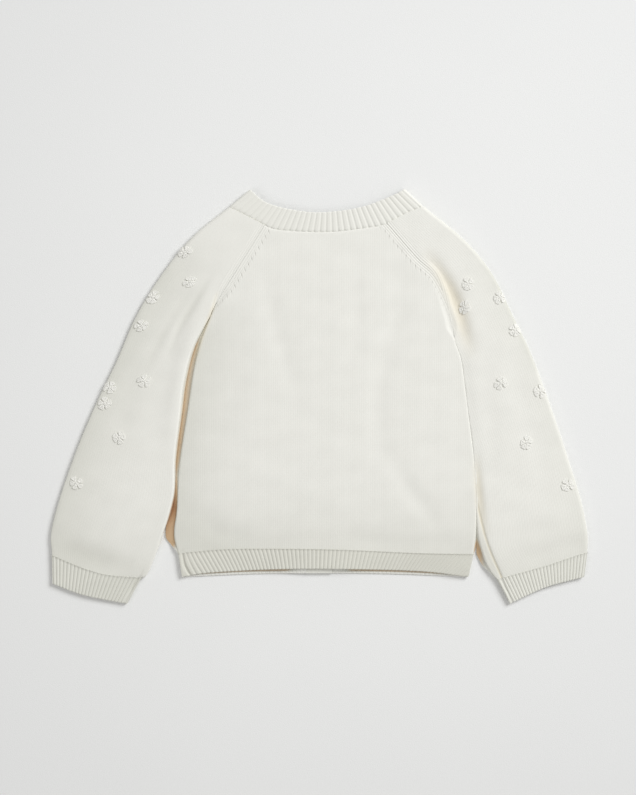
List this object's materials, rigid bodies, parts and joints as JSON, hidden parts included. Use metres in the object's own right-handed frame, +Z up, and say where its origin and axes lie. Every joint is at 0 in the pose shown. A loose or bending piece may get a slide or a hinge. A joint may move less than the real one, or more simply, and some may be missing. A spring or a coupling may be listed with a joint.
{
  "type": "baby cardigan laid flat",
  "caption": "Knitted baby cardigan laid face down, with raglan sleeves, ribbed neckband, hem and cuffs, a buttoned front and raised flowers on the sleeves.",
  "frame": {"origin": "centre of the bounding box's underside, on the surface that the cardigan lies on", "axes": "+X towards the wearer's right sleeve, +Y from the hem to the neck, +Z up through the fronts to the back, which is on top"},
  "size_m": [0.5098, 0.3955, 0.0097],
  "materials": {
    "cotton_knit": "fine cream cotton stocking stitch",
    "cotton_rib": "cream cotton one by one rib",
    "flower_yarn": "looped cream cotton yarn",
    "button_plastic": "plain cream resin, satin"
  },
  "bodies": {
    "root": {"back_panel": "cotton_knit", "front_left": "cotton_knit", "front_right": "cotton_knit", "sleeve_left": "cotton_knit", "sleeve_right": "cotton_knit", "neckband": "cotton_rib", "hem_back": "cotton_rib", "hem_front_left": "cotton_rib", "hem_front_right": "cotton_rib", "cuff_left": "cotton_rib", "cuff_right": "cotton_rib", "button_band": "cotton_rib", "buttonhole_band": "cotton_rib", "button_1": "button_plastic", "button_2": "button_plastic", "button_3": "button_plastic", "button_4": "button_plastic", "button_5": "button_plastic", "flower_left_1": "flower_yarn", "flower_left_2": "flower_yarn", "flower_left_3": "flower_yarn", "flower_left_4": "flower_yarn", "flower_left_5": "flower_yarn", "flower_left_6": "flower_yarn", "flower_left_7": "flower_yarn", "flower_left_8": "flower_yarn", "flower_left_9": "flower_yarn", "flower_right_1": "flower_yarn", "flower_right_2": "flower_yarn", "flower_right_3": "flower_yarn", "flower_right_4": "flower_yarn", "flower_right_5": "flower_yarn", "flower_right_6": "flower_yarn", "flower_right_7": "flower_yarn", "flower_right_8": "flower_yarn"}
  },
  "joints": []
}
